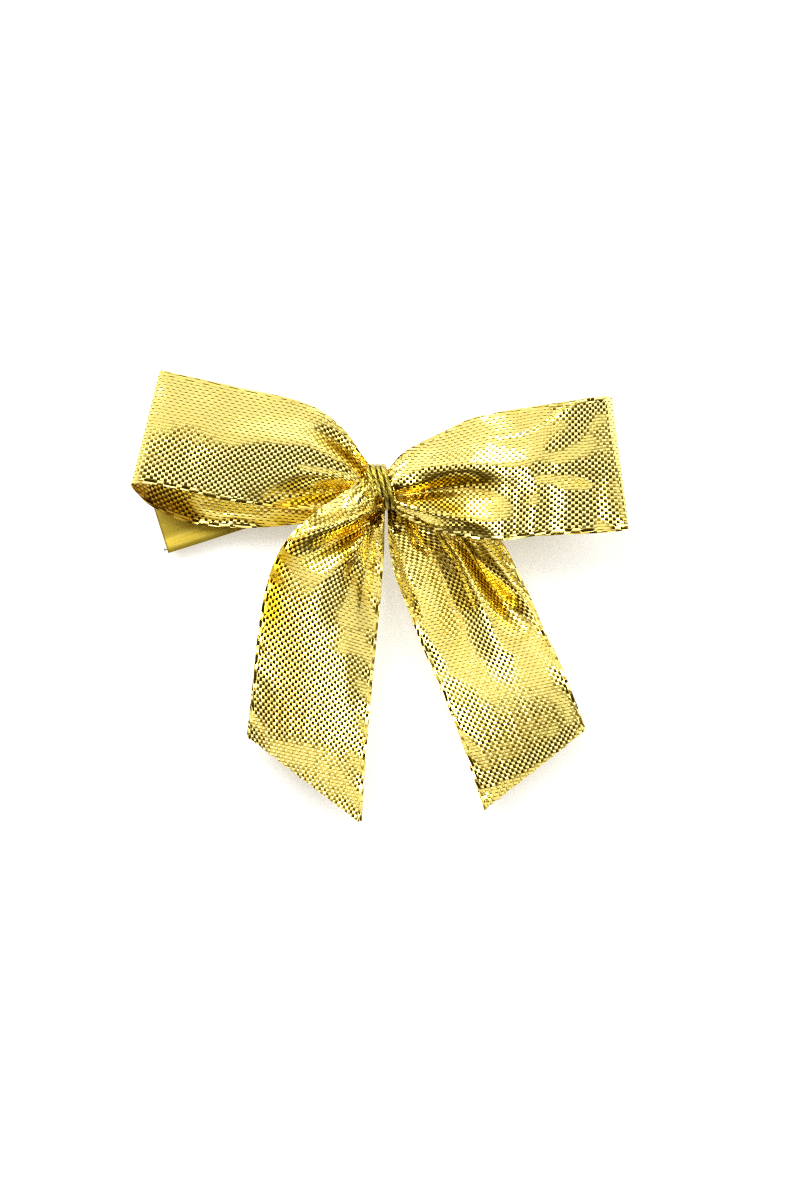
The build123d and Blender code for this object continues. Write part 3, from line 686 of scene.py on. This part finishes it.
# tails: first selvedge is the left one
LEFT_TAIL = Strip([
    st(-0.6, 1.7, 0.7, 0.6, 4.2, 4.2, 0.2),
    st(-1.7, 1.35, 0.65, -1.2, 4.9, 4.6, 0.3),
    st(-3.6, 0.05, 0.6, -3.2, 5.8, 4.9, 0.5),
    st(-6.3, -1.9, 0.55, -5.6, 6.7, 5.1, 0.6),
    st(-9.2, -4.0, 0.5, -8.4, 7.4, 5.3, 0.6),
    st(-11.7, -6.4, 0.35, -11.2, 7.8, 5.3, 0.6),
    st(-13.6, -9.4, 0.1, -14.4, 7.8, 5.2, 0.6),
    st(-14.9, -13.2, -0.3, -18.2, 7.2, 5.1, 0.7),
    st(-15.8, -17.8, -0.7, -22.4, 6.0, 5.0, 0.7),
    st(-16.4, -22.4, -1.1, -26.6, 4.7, 4.8, 0.6),
    st(-16.9, -27.0, -1.5, -30.8, 3.5, 4.5, 0.4),
    st(-17.4, -31.6, -1.85, -35.2, 2.8, 4.1, 0.2),
    st(-17.9, -36.6, -2.2, -39.9, 2.5, 3.7, 0.3),
    st(-18.4, -41.8, -2.5, -45.0, 2.4, 3.4, 0.2),
], [
    fold_line([(0.2, -2.4, 0.6, 0.5), (-3.7, -4.2, 1.0, 0.9), (-8.2, -5.6, 1.0, 1.1), (-11.3, -7.2, 0.5, 1.2)]),
    fold_line([(-0.1, -3.9, -0.8, 0.5), (-3.3, -5.9, -1.6, 0.8), (-6.6, -7.6, -1.6, 1.0), (-9.3, -9.0, -0.7, 1.2)]),
    fold_line([(-1.2, -5.0, 0.6, 0.6), (-3.6, -8.6, 0.9, 0.9), (-7.0, -12.2, 0.8, 1.6), (-8.8, -17.0, 0.3, 2.4)]),
    fold_line([(-0.6, -3.9, -0.7, 0.5), (-1.4, -8.5, -1.1, 0.7), (-2.2, -13.5, -0.8, 0.9), (-2.3, -18.5, -0.1, 1.2)]),
    fold_line([(-3.4, -10.6, -0.5, 0.9), (-4.3, -14.5, -0.6, 1.1), (-4.8, -18.0, 0.0, 1.2)]),
    fold_line([(-3.2, -15.0, 0.0, 1.2), (-4.4, -22.0, 0.5, 1.8), (-5.2, -29.0, 0.3, 2.2), (-5.6, -34.0, 0.0, 2.2)]),
    gather(3.0, 0.35, 4.5, 1.0), ripple(0.12, 4.2, 9.3), edge_wave(0.10, 5.1, 1, 0.9), edge_wave(0.10, 4.3, 0, 2.9),
# streaks of painted orange reflection, then of painted dark reflection and shade
], gilt=[
    painted_streak([(-10.2, -6.4, 0.7, 1.3), (-13.2, -10.0, 1.0, 1.7), (-14.6, -16.5, 0.8, 1.9), (-15.5, -22.0, 0.3, 1.8)]),
    painted_streak([(-1.6, -3.4, 0.7, 0.8), (-4.6, -7.2, 0.9, 1.1), (-4.0, -11.5, 0.7, 1.0), (-2.4, -14.5, 0.3, 0.9)]),
    painted_streak([(-12.0, -17.0, 0.5, 3.0), (-12.0, -29.0, 0.5, 3.5)]),
], painted_dark_reflection=[
    painted_streak([(-12.4, -12.5, 0.1, 2.6), (-11.6, -18.0, 0.50, 3.4), (-11.0, -27.5, 0.50, 3.8), (-11.4, -31.5, 0.05, 2.8)]),
    painted_streak([(0.2, -1.8, 1.0, 1.1), (-0.1, -4.0, 0.8, 0.8), (-0.6, -9.0, 0.0, 0.6)]),
    painted_streak([(-2.4, -14.6, 0.3, 1.0), (-2.2, -18.0, 0.2, 1.0)]),
])

RIGHT_TAIL = Strip([
    st(0.3, -0.6, 1.1, -0.2, 1.5, 1.5, 0.1),
    st(0.9, -2.6, 2.8, -1.8, 1.35, 1.45, 0.1),
    st(1.0, -5.3, 7.4, -2.6, 1.3, 1.4, 0.1),
    st(1.25, -8.4, 12.4, -4.6, 1.3, 1.35, 0.15),
    st(1.95, -11.6, 16.0, -7.2, 1.5, 1.35, 0.4),
    st(3.1, -14.7, 18.0, -10.9, 1.9, 1.7, 0.6),
    st(4.6, -18.6, 19.9, -14.9, 2.2, 2.5, 0.6),
    st(6.1, -22.3, 21.6, -18.9, 2.3, 3.1, 0.5),
    st(7.7, -26.1, 23.5, -22.8, 2.3, 3.4, 0.4),
    st(9.3, -29.8, 25.1, -26.7, 2.2, 3.2, 0.5),
    st(10.8, -33.8, 26.6, -30.6, 2.1, 2.9, 0.4),
    st(12.3, -38.4, 28.1, -35.0, 2.0, 2.6, 0.2),
    st(14.0, -43.4, 29.7, -39.4, 1.8, 2.2, 0.0),
], [
    fold_line([(2.6, -3.6, 0.3, 0.5), (7.6, -5.4, 0.6, 0.8), (10.8, -9.6, 1.2, 1.0), (13.4, -15.0, 1.3, 1.3), (15.8, -21.0, 0.5, 2.0)]),
    fold_line([(3.2, -5.2, -0.1, 0.6), (6.8, -8.8, -0.6, 1.1), (9.6, -16.0, -1.1, 1.6), (11.8, -22.0, -0.5, 2.2)]),
    fold_line([(10.0, -6.3, -0.3, 0.7), (12.8, -10.8, -1.0, 0.9), (16.0, -15.0, -1.4, 1.1), (18.0, -17.6, -0.3, 1.3)]),
    fold_line([(13.6, -7.0, 0.4, 0.8), (18.0, -13.2, 0.9, 1.1), (21.3, -18.2, 0.5, 1.3)]),
    fold_line([(2.0, -6.5, 0.5, 0.9), (4.6, -13.5, 0.7, 1.2), (8.5, -25.0, 0.3, 1.8)]),
    fold_line([(3.8, -4.6, -0.6, 0.4), (5.0, -7.6, -0.5, 0.5)]),
    fold_line([(25.2, -27.5, -0.2, 1.2), (26.9, -31.5, -1.1, 1.6)]),
    fold_line([(12.6, -40.2, -0.5, 1.4), (19.5, -37.2, -0.3, 1.3), (25.5, -33.5, -0.5, 1.3)]),
    gather(3.0, 0.3, 5.0, 0.3), ripple(0.12, 4.0, 3.3), edge_wave(0.10, 5.6, 1, 1.9), edge_wave(0.10, 4.9, 0, 0.3),
# streaks of painted orange reflection, then of painted dark reflection and shade
], gilt=[
    painted_streak([(9.2, -7.0, 0.6, 1.0), (12.8, -10.8, 1.0, 1.3), (16.8, -14.6, 0.9, 1.3), (18.6, -17.4, 0.2, 1.0)]),
    painted_streak([(2.6, -3.6, 0.7, 0.8), (6.3, -7.4, 0.8, 1.0), (8.0, -10.0, 0.2, 1.0)]),
    painted_streak([(6.0, -11.0, 0.3, 1.4), (10.5, -17.0, 0.3, 1.6)]),
], painted_dark_reflection=[
    painted_streak([(0.9, -2.0, 1.0, 1.2), (1.6, -4.2, 0.8, 0.9), (3.4, -6.8, 0.0, 0.6)]),
])


def joint_point(name, along=0.0, forward=0.0, direction=None):
    j = JOINTS[name]
    p = Vector(j["pos_m"])
    return p + Vector(direction) * along * MM + Vector((0, -1, 0)) * forward * MM if direction else p


def direction_from(a, b):
    """Unit vector in the front plane from joint a's pivot to joint b's."""
    v = Vector(JOINTS[b]["pos_m"]) - Vector(JOINTS[a]["pos_m"])
    v.y = 0
    return v.normalized()


def u_of(p, origin, direction):
    return (p - origin).dot(direction) / MM


def s_where(strip, s0, s1, direction, target, origin=Vector((0, 0, 0))):
    """Length along the strip at which its middle reaches a distance from the knot."""
    best, at = 1e9, s0
    n = 400
    for i in range(n + 1):
        s = s0 + (s1 - s0) * i / n
        x, z, d = strip.point(s, 0.5)
        e = abs(u_of(world(x, z, d), origin, direction) - target)
        if e < best:
            best, at = e, s
    return at


pieces = []


def add(obj, slot, *nodes):
    if nodes:
        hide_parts(*nodes)
    pieces.append(obj)
    return obj


def loop(side, strip, apex_station):
    direction = direction_from(f"{side}_loop_puff", f"{side}_loop_bend_1")
    s_fold = strip.s_at_station(apex_station)
    flip = 1.0
    c1 = snap(s_where(strip, 0, s_fold, direction, 10.6))
    c2 = snap(s_where(strip, 0, s_fold, direction, 26.6))
    c3 = snap(s_where(strip, s_fold, strip.length, direction, 26.6))
    c4 = snap(s_where(strip, s_fold, strip.length, direction, 10.6))
    b = f"{side}_loop_"

    fl = 1.0 if side == "left" else -1.0
    o = sheet(f"ribbon_{side}_loop_front_at_knot", strip, 0.0, c1, WEAVE, flip=fl)
    add(o, "ribbon_cloth", f"ribbon_{side}_loop_neck")
    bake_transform(o)
    o = sheet(f"ribbon_{side}_loop_front", strip, c1, c2, WEAVE, flip=fl)
    add(o, "ribbon_cloth", f"ribbon_{side}_loop_front_inner", f"ribbon_{side}_loop_front_outer")
    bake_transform(o)
    o = sheet(f"ribbon_{side}_loop_fold", strip, c2, c3, WEAVE, flip=fl)
    add(o, "ribbon_cloth", f"ribbon_{side}_loop_front_outer", f"ribbon_{side}_loop_back_outer")
    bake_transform(o)
    o = sheet(f"ribbon_{side}_loop_back", strip, c3, c4, WEAVE, flip=fl)
    add(o, "ribbon_cloth", f"ribbon_{side}_loop_back_outer", f"ribbon_{side}_loop_back_inner")
    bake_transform(o)
    o = sheet(f"ribbon_{side}_loop_back_at_knot", strip, c4, strip.length, WEAVE, flip=fl)
    add(o, "ribbon_cloth", f"ribbon_{side}_loop_back_inner")
    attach(o, b + "back_inner")


loop("left", LEFT_LOOP, 11)
loop("right", RIGHT_LOOP, 11)


def tail(side, strip, cut_line):
    joints = [f"{side}_tail_lift", f"{side}_tail_curl_1", f"{side}_tail_curl_2"]
    piv = [Vector(JOINTS[j]["pos_m"]) for j in joints]
    d = direction_from(joints[0], joints[2])
    origin = Vector((CX, 0, CZ))
    us = [u_of(p, origin, d) for p in piv]

    # the slanted cut, as a length along the strip for each v
    (ax, az), (bx, bz) = cut_line

    def cut(v):
        lo, hi = strip.length * 0.6, strip.length
        for _ in range(26):
            m = (lo + hi) / 2
            x, z, _d = strip.point(m, v)
            side_of = (bx - ax) * (z - az) - (bz - az) * (x - ax)
            if side_of > 0:
                lo = m
            else:
                hi = m
        return lo + 0.05 * math.sin(v * 97.0) + 0.04 * math.sin(v * 41.0 + 1.0)

    s1 = snap(s_where(strip, 0, strip.length, d, (us[0] + us[1]) / 2))
    s2 = snap(s_where(strip, 0, strip.length, d, (us[1] + us[2]) / 2))
    bodies = [f"{side}_tail_{n}" for n in ("neck", "upper", "middle", "tip")]
    spans = [(0.0, s1, None), (s1, s2, None), (s2, strip.length, cut)]
    names = ["length_at_knot", "length_middle", "length_end"]
    for i, (a, b, c) in enumerate(spans):
        o = sheet(f"ribbon_{side}_tail_{names[i]}", strip, a, b, WEAVE, cut=c, flip=1.0, uv_shift=7 * CELL_U, plain_back=True)
        add(o, "ribbon_cloth", f"ribbon_{bodies[i]}", f"ribbon_{bodies[i + 1]}")
        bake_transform(o)


tail("left", LEFT_TAIL, ((-17.6, -32.8), (-2.4, -44.4)))
tail("right", RIGHT_TAIL, ((13.7, -42.6), (27.2, -31.9)))


# ------------------------------------------------------------------ gathered core, cord and its knot
def tube(name, path, radius, material, sides=14, lobes=0, lobe_depth=0.0, lobe_pitch=1.0, taper=None, closed=False):
    """A round or twisted-lobed tube along a list of points in metres."""
    verts, uvs, faces = [], [], []
    n = len(path)
    length = [0.0]
    for p, q in zip(path, path[1:]):
        length.append(length[-1] + (q - p).length)
    up = None
    for i, p in enumerate(path):
        t = (path[min(i + 1, n - 1)] - path[max(i - 1, 0)]).normalized()
        if up is None:
            up = t.orthogonal().normalized()
        up = (up - t * up.dot(t)).normalized()
        side = t.cross(up)
        s_mm = length[i] / MM
        k = taper(i / (n - 1)) if taper else 1.0
        for j in range(sides):
            a = 2 * math.pi * j / sides
            r = radius * k
            if lobes:
                r *= 1 - lobe_depth * (0.5 + 0.5 * math.cos(lobes * a - 2 * math.pi * s_mm / lobe_pitch)) ** 2
            verts.append(p + (up * math.cos(a) + side * math.sin(a)) * r)
            uvs.append((s_mm, j / sides))
    for i in range(n - 1):
        for j in range(sides):
            a, b = i * sides + j, i * sides + (j + 1) % sides
            faces.append((a, b, b + sides, a + sides))
    faces.append(tuple(reversed(range(sides))))
    faces.append(tuple(range((n - 1) * sides, n * sides)))
    return finish_mesh(name, verts, faces, uvs, material)


def join(name, objs):
    """One object from several, keeping every mesh as it is."""
    verts, faces, uvs, mats, midx = [], [], [], [], []
    for o in objs:
        base = len(verts)
        verts += [v.co.copy() for v in o.data.vertices]
        layer = o.data.uv_layers["weave"].data
        vert_uv = {}
        for p in o.data.polygons:
            for li in p.loop_indices:
                vert_uv[o.data.loops[li].vertex_index] = tuple(layer[li].uv)
            faces.append(tuple(base + i for i in p.vertices))
            m = o.data.materials[p.material_index] if o.data.materials else None
            if m not in mats:
                mats.append(m)
            midx.append(mats.index(m))
        uvs += [vert_uv.get(i, (0, 0)) for i in range(len(o.data.vertices))]
        bpy.data.objects.remove(o)
    out = finish_mesh(name, verts, faces, uvs, None)
    for m in mats:
        out.data.materials.append(m)
    for p, m in zip(out.data.polygons, midx):
        p.material_index = m
    return out


def even(points, step):
    length = [0.0]
    for p, q in zip(points, points[1:]):
        length.append(length[-1] + (q - p).length)
    n = max(2, int(length[-1] / step))
    out, j = [], 0
    for k in range(n + 1):
        target = length[-1] * k / n
        while j < len(points) - 2 and length[j + 1] < target:
            j += 1
        f = (target - length[j]) / max(1e-12, length[j + 1] - length[j])
        out.append(points[j].lerp(points[j + 1], min(1, max(0, f))))
    return out


CORD_LO, CORD_HI = (Vector(p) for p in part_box("binding_cord"))
cord_r = 0.33 * MM
cord_turns, cord_pitch, cord_lean = 4, 0.70 * MM, 0.30
front_y = CORD_LO.y + cord_r
half_z = (CORD_HI.z - CORD_LO.z) / 2 - cord_r
mid_y = front_y + 2.80 * MM
raw = []
total = cord_turns * 120
for i in range(total + 1):
    t = 2 * math.pi * i / 120 + math.pi
    c, s = math.cos(t), math.sin(t)
    r = (abs(c) ** 3 + abs(s) ** 3) ** (-1 / 3)
    wob = 0.04 * MM * math.sin(i * 0.11) + 0.03 * MM * math.sin(i * 0.047 + 1)
    z = half_z * r * s
    x = (i / total - 0.5) * cord_turns * cord_pitch - cord_lean * z + wob
    raw.append(Vector((CX + x, mid_y - 2.80 * MM * r * c, CZ + z)))
half_x = cord_turns * cord_pitch / 2
lead = [Vector((CX - half_x * 0.50, 1.30 * MM, CZ + 0.20 * MM)), Vector((CX - half_x * 0.78, 1.06 * MM, CZ + 0.05 * MM))]
lead_out = [Vector((2 * CX - p.x, p.y, 2 * CZ - p.z)) for p in reversed(lead)]
path = even(lead + raw[6:-6] + lead_out, 0.07 * MM)
for _ in range(3):
    path = [path[0]] + [(path[i - 1] + path[i] * 2 + path[i + 1]) / 4 for i in range(1, len(path) - 1)] + [path[-1]]
cord = tube("binding_cord_wound", path, cord_r, CORD, sides=18, lobes=3, lobe_depth=0.28, lobe_pitch=2.6)
add(cord, "cord", "binding_cord")
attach(cord, "knot")

KLO, KHI = (Vector(p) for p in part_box("binding_cord_knot"))
kc = Vector((CX, (KLO.y + KHI.y) / 2 - 0.02 * MM, CZ))
tre = []
for i in range(121):
    t = 2 * math.pi * i / 120
    tre.append(kc + Vector(((math.sin(t) + 2 * math.sin(2 * t)) * 0.17, -math.sin(3 * t) * 0.16, (math.cos(t) - 2 * math.cos(2 * t)) * 0.20)) * MM)
k_obj = tube("k0", even(tre, 0.07 * MM), 0.27 * MM, CORD, sides=12, lobes=3, lobe_depth=0.25, lobe_pitch=2.4)


def bez(p, q, r, n=30):
    return [p * (1 - t) ** 2 + q * 2 * t * (1 - t) + r * t * t for t in [i / n for i in range(n + 1)]]


e1 = tube("k1", bez(kc + Vector((0.1, 0.05, 0.3)) * MM, kc + Vector((-0.4, 0.2, 1.9)) * MM, Vector((KLO.x + 0.12 * MM, kc.y + 0.08 * MM, CZ + 2.7 * MM))),
          0.29 * MM, CORD, sides=12, lobes=3, lobe_depth=0.25, lobe_pitch=2.4)
e2 = tube("k2", bez(kc + Vector((0.1, 0.05, -0.3)) * MM, kc + Vector((0.9, 0.2, -1.6)) * MM, Vector((CX + 0.6 * MM, kc.y + 0.05 * MM, KLO.z + 0.1 * MM))),
          0.29 * MM, CORD, sides=12, lobes=3, lobe_depth=0.25, lobe_pitch=2.4)
knot = join("binding_cord_back_knot", [k_obj, e1, e2])
add(knot, "cord", "binding_cord_knot")
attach(knot, "knot")

# the crushed bundle under the cord: deep folds running along it
verts, uvs, faces = [], [], []
n_along, n_round = 16, 120
core_mid_y = (CORE_LO.y + CORE_HI.y) / 2
hy, hz = (CORE_HI.y - CORE_LO.y) / 2, (CORE_HI.z - CORE_LO.z) / 2
for i in range(n_along + 1):
    x = (i / n_along - 0.5) * 3.6
    for j in range(n_round):
        a = 2 * math.pi * j / n_round
        c, s = math.cos(a), math.sin(a)
        r = (abs(c) ** 2.6 + abs(s) ** 2.6) ** (-1 / 2.6)
        f = 1 - 0.13 * abs(math.sin(a * 5.5 + 0.25 * x)) ** 0.7 - 0.05 * math.sin(a * 9 + x)
        grow = 1.0 + 0.02 * x * x
        verts.append(Vector((CX + (x - 0.3 * hz * r * s * f / MM * 0.6) * MM, core_mid_y + hy * 1.04 * r * c * f * grow, CZ + hz * 0.99 * r * s * f * grow)))
        uvs.append((x, a * 2.6))
for i in range(n_along):
    for j in range(n_round):
        a, b = i * n_round + j, i * n_round + (j + 1) % n_round
        faces.append((a, b, b + n_round, a + n_round))
faces.append(tuple(reversed(range(n_round))))
faces.append(tuple(range(n_along * n_round, (n_along + 1) * n_round)))
core = finish_mesh("ribbon_gathered_under_cord", verts, faces, uvs, WEAVE)
add(core, "ribbon_cloth", "ribbon_gathered_core")
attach(core, "knot")


# ------------------------------------------------------------------ twist tie
TIE_MID = 0.33
INSET = 0.60


def tie_ridge(w, e0, e1, inset):
    h = 0.045
    for c, inward in ((e0 + inset, w > e0 + inset), (e1 - inset, w < e1 - inset)):
        r = abs(w - c) / (0.95 if inward else 0.50)
        if r < 1.6:
            h = max(h, 0.045 + 0.185 * math.cos(min(1.0, r / 1.35) * math.pi / 2) ** 1.3)
    return h


def tie_sheet(name, direction, edges_at, u0, u1, side, cuts_soft=False):
    """One film, side +1 in front and -1 behind. edges_at(u) gives the strip's two edges."""
    d = Vector(direction)
    a = Vector((-d.z, 0, d.x))
    nu = max(3, int((u1 - u0) / (0.35)))
    nw = 64
    verts, uvs, faces = [], [], []
    rows = []
    for i in range(nu + 1):
        u = u0 + (u1 - u0) * i / nu
        e0, e1 = edges_at(u)
        inset = min(INSET, (e1 - e0) * 0.24)
        row = []
        for j in range(nw + 1):
            # evenly spaced across the strip
            q = j / nw
            w = e0 + (e1 - e0) * q
            h = tie_ridge(w, e0, e1, inset)
            crumple = 0.10 * (1 - smooth(3.2, 9.0, abs(u))) * noise.noise(Vector((u * 0.8, w * 1.6, 2.0)))
            wave = 0.05 * noise.noise(Vector((u * 0.22, w * 0.3, 7.0))) * smooth(3.0, 9.0, abs(u))
            row.append((u, w, TIE_MID + side * h + crumple + wave))
        rows.append(row)
    w1 = nw + 1
    for layer in (0, 1):
        for i in range(nu + 1):
            for j in range(nw + 1):
                u, w, dd = rows[i][j]
                dd2 = dd if layer == 0 else dd - side * 0.035
                p = d * u * MM * SCALE + a * w * MM * SCALE
                verts.append(Vector((CX + p.x, -dd2 * MM, CZ + p.z)))
                uvs.append((u, w))
    off = (nu + 1) * w1
    for i in range(nu):
        for j in range(nw):
            A, B, C, D = i * w1 + j, (i + 1) * w1 + j, (i + 1) * w1 + j + 1, i * w1 + j + 1
            if side > 0:
                faces.append((A, B, C, D))
                faces.append((off + A, off + D, off + C, off + B))
            else:
                faces.append((A, D, C, B))
                faces.append((off + A, off + B, off + C, off + D))
    rim = []
    for i in range(nu):
        rim.append((i * w1, (i + 1) * w1))
        rim.append(((i + 1) * w1 + nw, i * w1 + nw))
    for j in range(nw):
        rim.append((j + 1, j))
        rim.append((nu * w1 + j, nu * w1 + j + 1))
    flat_from = len(faces)
    for A, B in rim:
        faces.append((A, off + A, off + B, B) if side > 0 else (A, B, off + B, off + A))
    return finish_mesh(name, verts, faces, uvs, FOIL, flat_from)


PINCH = (-1.2, 1.3)


def tie_wires(name, direction, edges_at, u0, u1, out=(0.0, 0.0)):
    d = Vector(direction)
    a = Vector((-d.z, 0, d.x))
    objs = []
    for k in (0, 1):
        pts = []
        end = u1 + out[k]
        n = 40
        for i in range(n + 1):
            u = u0 + (end - u0) * i / n
            e0, e1 = edges_at(min(u, u1))
            inset = min(INSET, (e1 - e0) * 0.24)
            w = e0 + inset if k == 0 else e1 - inset
            crumple = 0.10 * (1 - smooth(3.2, 9.0, abs(u))) * noise.noise(Vector((u * 0.8, w * 1.6, 2.0)))
            wave = 0.05 * noise.noise(Vector((u * 0.22, w * 0.3, 7.0))) * smooth(3.0, 9.0, abs(u))
            p = d * u * MM * SCALE + a * w * MM * SCALE
            pts.append(Vector((CX + p.x, -(TIE_MID + crumple + wave) * MM, CZ + p.z)))
        objs.append(tube(name + str(k), pts, 0.165 * MM, STEEL, sides=12))
    return join(name, objs)


def arm(side, edges, pinch):
    names = [f"tie_{side}_bend", f"tie_{side}_bend_2", f"tie_{side}_bend_3", f"tie_{side}_bend_4"]
    piv = [Vector(JOINTS[j]["pos_m"]) for j in names]
    d = direction_from(names[0], names[3])
    us = [u_of(p, Vector((CX, 0, CZ)), d) for p in piv]
    lo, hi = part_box(f"tie_{side}_length_4_front_film")
    # the arm's square end: the box's far side is where its far corner is
    far_x = (lo[0] if side == "left" else hi[0]) - CX
    end_u = min((far_x / MM + d.z * w) / d.x for w in edges)

    def edges_at(u):
        k = smooth(us[0] - 0.4, us[1] - 0.4, u)
        return pinch[0] + (edges[0] - pinch[0]) * k, pinch[1] + (edges[1] - pinch[1]) * k

    cuts = [1.6] + [(us[i] + us[i + 1]) / 2 for i in range(3)] + [end_u]
    for i in range(4):
        u0, u1 = cuts[i], cuts[i + 1]
        label = ("near_knot", "inner", "outer", "end")[i]
        nodes = [f"tie_{side}_length_{i + 1}"]
        for film, sgn in (("front_film", 1), ("back_film", -1)):
            o = tie_sheet(f"tie_{side}_{label}_{film}", d, edges_at, u0, u1, sgn)
            add(o, "tie_foil", f"{nodes[0]}_{film}")
            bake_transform(o)
        o = tie_wires(f"tie_{side}_{label}_wires", d, edges_at, u0, u1, out=((0.16, 0.4) if i == 3 else (0.0, 0.0)))
        add(o, "tie_wire", f"{nodes[0]}_wires")
        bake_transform(o)


arm("left", (-8.2, -0.2), (-PINCH[1], -PINCH[0]))
arm("right", (-3.0, 5.0), PINCH)
for film, sgn in (("front_film", 1), ("back_film", -1)):
    o = tie_sheet(f"tie_middle_{film}", (1, 0, 0), lambda u: PINCH, -1.9, 1.9, sgn)
    add(o, "tie_foil", f"tie_centre_{film}")
    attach(o, "knot")
o = tie_wires("tie_middle_wires", (1, 0, 0), lambda u: PINCH, -1.9, 1.9)
add(o, "tie_wire", "tie_centre_wires")
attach(o, "knot")

# ------------------------------------------------------------------ backdrop, light and camera
back_y = hi0.y + 0.25 * MM
mesh = bpy.data.meshes.new("backdrop")
S = 1.2
mesh.from_pydata([(-S, back_y, -S), (S, back_y, -S), (S, back_y, S), (-S, back_y, S)], [], [(0, 1, 2, 3)])
backdrop = bpy.data.objects.new("backdrop", mesh)
bpy.context.scene.collection.objects.link(backdrop)
mat, n = new_material("backdrop_white")
geo = n.new("ShaderNodeNewGeometry")
diff = n.new("ShaderNodeBsdfDiffuse")
n.put(diff.inputs[0], (0.70, 0.695, 0.685, 1))
tr = n.new("ShaderNodeBsdfTransparent")
mx = n.new("ShaderNodeMixShader")
out = n.new("ShaderNodeOutputMaterial")
glow = n.new("ShaderNodeEmission")
n.put(glow.inputs[0], (1.0, 0.99, 0.975, 1))
n.put(glow.inputs[1], 0.42)
lit = n.new("ShaderNodeAddShader")
n.t.links.new(diff.outputs[0], lit.inputs[0])
n.t.links.new(glow.outputs[0], lit.inputs[1])
n.put(mx.inputs[0], geo.outputs["Backfacing"])
n.t.links.new(lit.outputs[0], mx.inputs[1])
n.t.links.new(tr.outputs[0], mx.inputs[2])
n.t.links.new(mx.outputs[0], out.inputs[0])
mesh.materials.append(mat)

scene = bpy.context.scene
scene.view_settings.view_transform = "Standard"
scene.cycles.use_denoising = False      # the denoiser takes the weave for noise
scene.cycles.filter_width = 1.2
world_data = bpy.data.worlds.new("studio")
scene.world = world_data
world_data.use_nodes = True
n = Nodes(world_data.node_tree)
tc = n.new("ShaderNodeTexCoord")
sp = n.new("ShaderNodeSeparateXYZ")
n.put(sp.inputs[0], tc.outputs["Generated"])
height = n.m("MULTIPLY_ADD", sp.outputs[2], 0.5, 0.5)
height = n.m("ADD", height, n.m("MULTIPLY", n.m("MINIMUM", sp.outputs[0], 0.0), 0.10))
sky = n.ramp(height, [(0.0, (0.12, 0.09, 0.025)), (0.20, (0.050, 0.032, 0.004)), (0.345, (0.042, 0.026, 0.003)), (0.400, (0.20, 0.13, 0.02)),
                      (0.460, (1.04, 1.00, 0.88)), (0.500, (1.10, 1.09, 1.03)), (0.615, (1.10, 1.09, 1.03)), (0.690, (1.9, 1.9, 1.95)),
                      (0.840, (1.9, 1.9, 1.95)), (0.91, (1.12, 1.11, 1.05)), (1.0, (1.08, 1.07, 1.0))])
right = n.m("MULTIPLY", n.m("SUBTRACT", sp.outputs[0], 0.72), 7.0, clamp=True)
low = n.m("MULTIPLY", n.m("SUBTRACT", 0.74, height), 9.0, clamp=True)
sky = n.mix(n.m("MULTIPLY", n.m("MULTIPLY", right, low), 0.9), sky, (0.06, 0.04, 0.006, 1))
lp = n.new("ShaderNodeLightPath")
sky2 = n.mix(lp.outputs["Is Camera Ray"], sky, (0.93, 0.93, 0.93, 1))
bg = n.new("ShaderNodeBackground")
n.put(bg.inputs[0], sky2)
n.put(bg.inputs[1], 1.0)
wo = n.new("ShaderNodeOutputWorld")
n.t.links.new(bg.outputs[0], wo.inputs[0])


def area(name, at, to, size, power, colour=(1, 1, 1)):
    data = bpy.data.lights.new(name, "AREA")
    data.size = size
    data.energy = power
    data.color = colour
    o = bpy.data.objects.new(name, data)
    o.location = at
    o.rotation_euler = (Vector(to) - Vector(at)).to_track_quat("-Z", "Y").to_euler()
    scene.collection.objects.link(o)
    return o


aim = ((lo0.x + hi0.x) / 2, 0, (lo0.z + hi0.z) / 2)
area("key", (-0.35, -0.75, 0.55), aim, 0.6, 9.0)
area("fill", (0.55, -0.8, 0.35), aim, 0.6, 5.0).visible_glossy = False

cam = bpy.data.cameras.new("camera")
cam.lens = 159.0
cam.sensor_width = 36.0
cam.clip_start = 0.01
cam_obj = bpy.data.objects.new("camera", cam)
# frame the bow as it stands in the picture: its knot a little left of and above the middle
cam_obj.location = (CX + 2.6 * MM, -0.70, CZ - 14.9 * MM)
cam_obj.rotation_euler = (math.radians(90), 0, 0)
scene.collection.objects.link(cam_obj)
scene.camera = cam_obj
